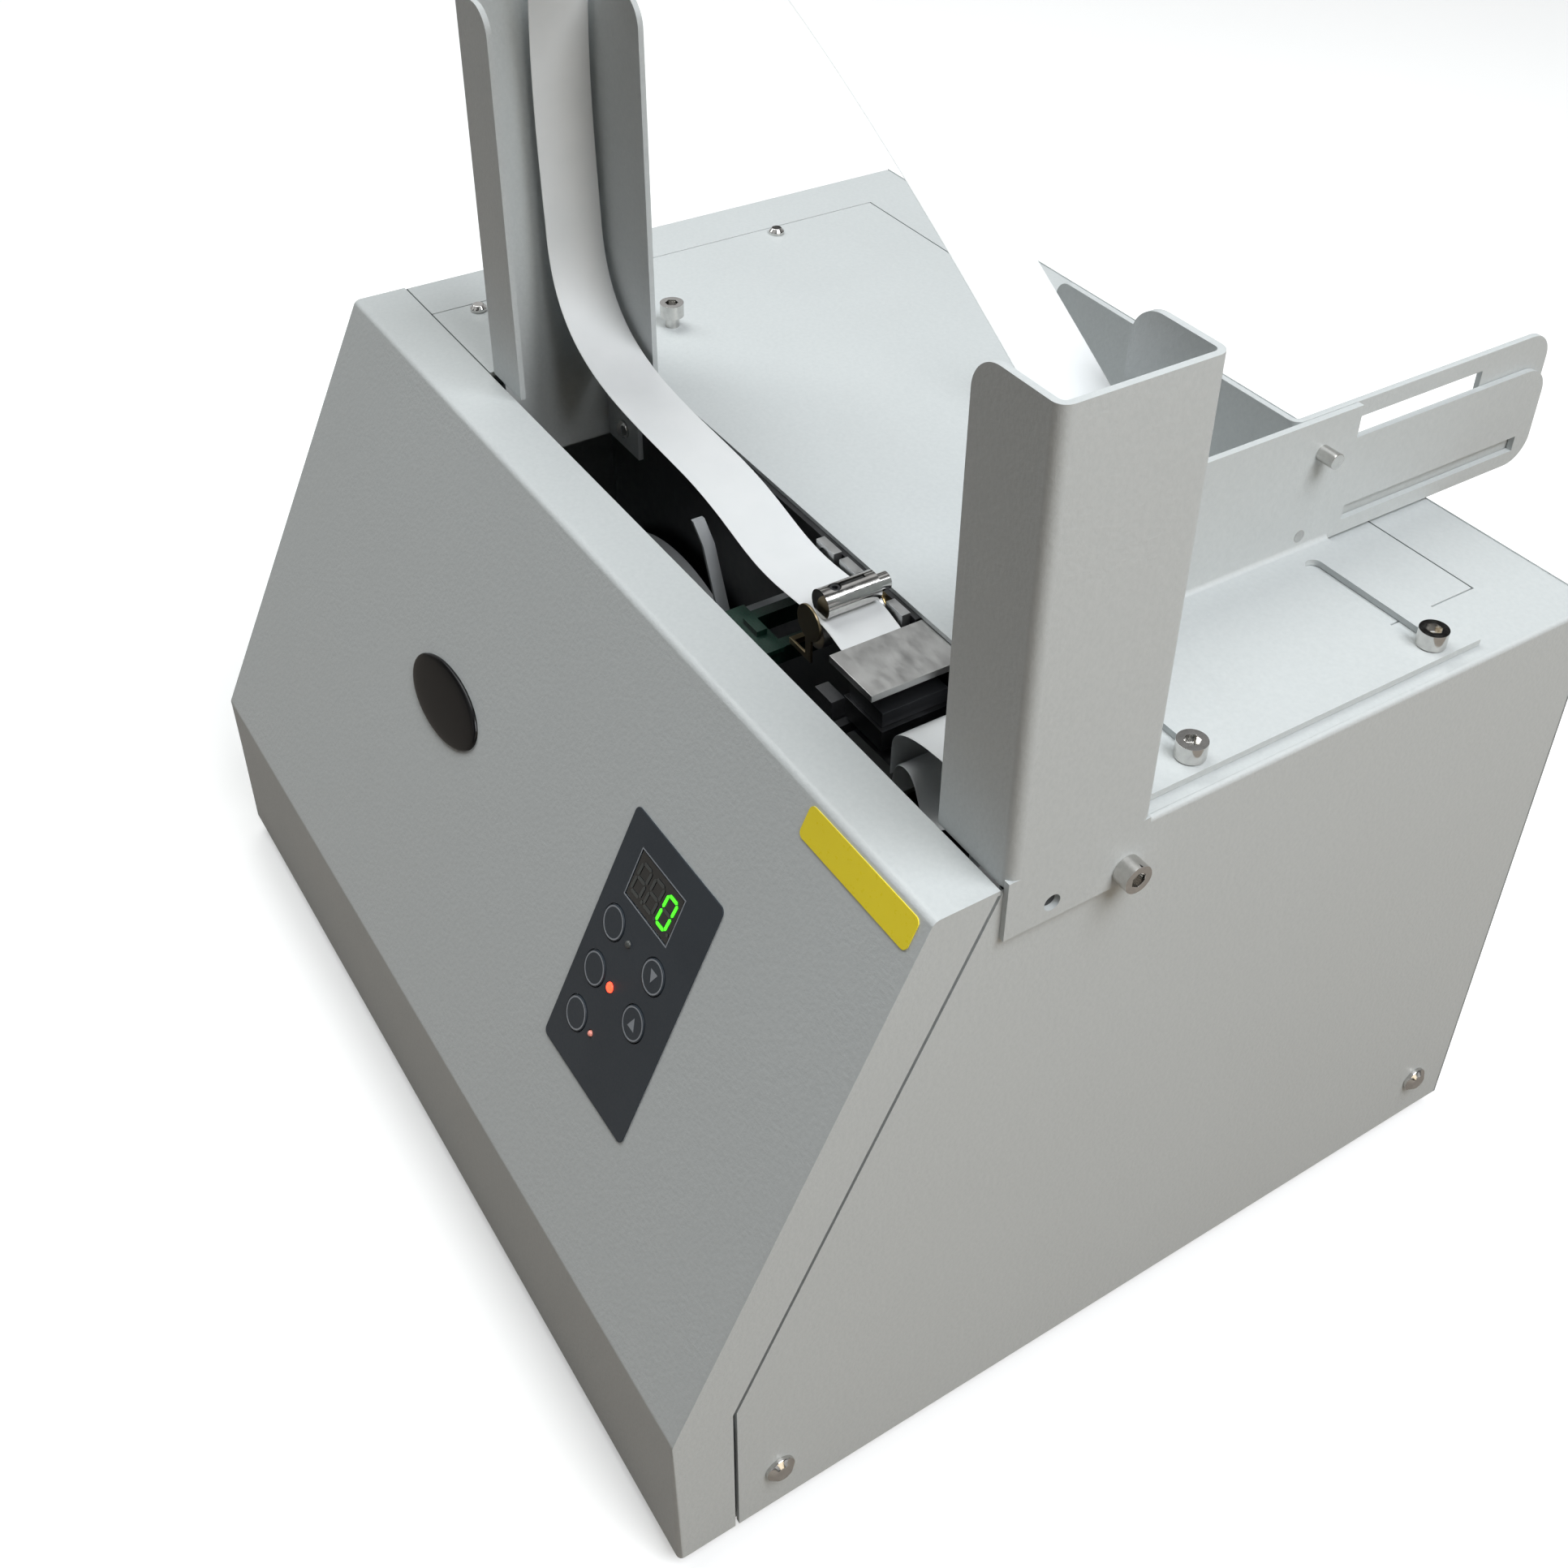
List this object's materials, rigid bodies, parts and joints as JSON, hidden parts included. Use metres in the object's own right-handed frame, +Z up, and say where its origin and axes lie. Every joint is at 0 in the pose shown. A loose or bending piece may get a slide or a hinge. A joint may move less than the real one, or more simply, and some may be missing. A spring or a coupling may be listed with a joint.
{
  "type": "banknote strapping machine",
  "caption": "Bench-top banknote strapping machine with a sloping front panel, a paper tape arch over a slotted deck, a side guide and rear stop, and the tape feed and bonding head inside",
  "frame": {"origin": "middle of the footprint, on the surface the rubber feet rest on", "axes": "X to the operator's right, Y from the operator to the back, Z up; the sloping front faces -Y"},
  "size_m": [0.3694, 0.351, 0.4123],
  "materials": {
    "powder_coat": "matte",
    "screw_steel": "polished",
    "plated_steel": "satin",
    "plate_aluminium": "satin",
    "rubber": "matte",
    "black_plastic": "matte",
    "board": "satin",
    "tape": "matte",
    "motor_case": "satin",
    "brass": "satin",
    "gloss_black": "gloss",
    "yellow_label": "satin",
    "overlay": "satin"
  },
  "bodies": {
    "machine": {"base_pan": "powder_coat", "rubber_feet": "rubber", "housing_shell": "powder_coat", "rear_panel": "powder_coat", "deck_ledges": "powder_coat", "deck_plate": "powder_coat", "left_channel": "powder_coat", "right_channel": "powder_coat", "side_screws": "screw_steel", "deck_screws": "screw_steel", "channel_screws": "screw_steel", "clamp_screws": "screw_steel", "rear_screws": "screw_steel", "mechanism_plate": "plate_aluminium", "hinge_brackets": "plated_steel", "cover_catches": "plated_steel", "guide_post": "plated_steel", "guide_blocks": "black_plastic", "tape_lip": "plated_steel", "sensor_board": "board", "sensor_arm": "plated_steel", "tape_sensor": "black_plastic", "paper_tape": "tape", "tape_supply": "tape", "turning_pins": "screw_steel", "reel_spindle": "screw_steel", "feed_bearing": "plated_steel", "feed_motor": "motor_case", "cam_motor": "motor_case", "press_guide": "plated_steel", "anvil_solenoid": "motor_case", "control_board": "board", "transformer": "plated_steel", "power_inlet": "black_plastic", "fuse_holder": "black_plastic", "switch_housing": "black_plastic"},
    "cover": {"front_cover": "powder_coat", "badge": "gloss_black", "notice_strip": "yellow_label", "panel_overlay": "overlay", "display_module": "gloss_black", "panel_board": "board", "panel_leds": "gloss_black"},
    "key_a_cap": {"key_a": "gloss_black"},
    "key_b_cap": {"key_b": "gloss_black"},
    "key_c_cap": {"key_c": "gloss_black"},
    "key_up_cap": {"key_up": "gloss_black"},
    "key_down_cap": {"key_down": "gloss_black"},
    "guide": {"side_guide": "powder_coat", "guide_studs": "screw_steel"},
    "stop": {"rear_stop": "powder_coat"},
    "rocker": {"power_rocker": "gloss_black"},
    "reel": {"reel_core": "black_plastic", "tape_roll": "tape"},
    "drive_gear": {"feed_gear": "plated_steel"},
    "roller": {"feed_roller": "rubber"},
    "cam": {"cam_shaft": "plated_steel"},
    "press": {"press_head": "plated_steel", "bonding_heater": "brass"},
    "anvil": {"anvil_plate": "plated_steel"}
  },
  "joints": [
    {"name": "cover_tilt", "type": "hinge", "parent": "machine", "child": "cover", "pos_m": [0, -0.148, 0.012], "axis": [1, 0, 0], "range_deg": [0, 60]},
    {"name": "key_a_press", "type": "slide", "parent": "cover", "child": "key_a_cap", "axis": [0, 0.9035, -0.4286], "range_m": [0, 0.0004], "stiffness_N_per_m": 50, "springref_m": -0.0005},
    {"name": "key_b_press", "type": "slide", "parent": "cover", "child": "key_b_cap", "axis": [0, 0.9035, -0.4286], "range_m": [0, 0.0004], "stiffness_N_per_m": 50, "springref_m": -0.0005},
    {"name": "key_c_press", "type": "slide", "parent": "cover", "child": "key_c_cap", "axis": [0, 0.9035, -0.4286], "range_m": [0, 0.0004], "stiffness_N_per_m": 50, "springref_m": -0.0005},
    {"name": "key_up_press", "type": "slide", "parent": "cover", "child": "key_up_cap", "axis": [0, 0.9035, -0.4286], "range_m": [0, 0.0004], "stiffness_N_per_m": 50, "springref_m": -0.0005},
    {"name": "key_down_press", "type": "slide", "parent": "cover", "child": "key_down_cap", "axis": [0, 0.9035, -0.4286], "range_m": [0, 0.0004], "stiffness_N_per_m": 50, "springref_m": -0.0005},
    {"name": "guide_slide", "type": "slide", "parent": "machine", "child": "guide", "axis": [1, 0, 0], "range_m": [0, 0.04]},
    {"name": "stop_slide", "type": "slide", "parent": "guide", "child": "stop", "axis": [0, -1, 0], "range_m": [0, 0.06]},
    {"name": "switch_rock", "type": "hinge", "parent": "machine", "child": "rocker", "pos_m": [-0.072, 0.151, 0.05], "axis": [1, 0, 0], "range_deg": [0, 18]},
    {"name": "reel_spin", "type": "hinge", "parent": "machine", "child": "reel", "pos_m": [-0.048, -0.03, 0.1], "axis": [0, 1, 0], "continuous": true},
    {"name": "motor_spin", "type": "hinge", "parent": "machine", "child": "drive_gear", "pos_m": [0.065, -0.03, 0.2005], "axis": [0, 1, 0], "continuous": true},
    {"name": "roller_spin", "type": "hinge", "parent": "machine", "child": "roller", "pos_m": [0.065, -0.03, 0.2165], "axis": [0, 1, 0], "continuous": true},
    {"name": "cam_turn", "type": "hinge", "parent": "machine", "child": "cam", "pos_m": [0.0931, -0.03, 0.158], "axis": [0, -1, 0], "range_deg": [0, 120]},
    {"name": "press_lift", "type": "slide", "parent": "machine", "child": "press", "axis": [0, 0, 1], "range_m": [0, 0.006]},
    {"name": "anvil_retract", "type": "slide", "parent": "machine", "child": "anvil", "axis": [0, 1, 0], "range_m": [0, 0.029], "stiffness_N_per_m": 60, "springref_m": -0.01}
  ],
  "couplings": [
    {"joint": "roller_spin", "follows": "motor_spin", "ratio": -3},
    {"joint": "press_lift", "follows": "cam_turn", "m_per_rad": 0.0028648}
  ]
}
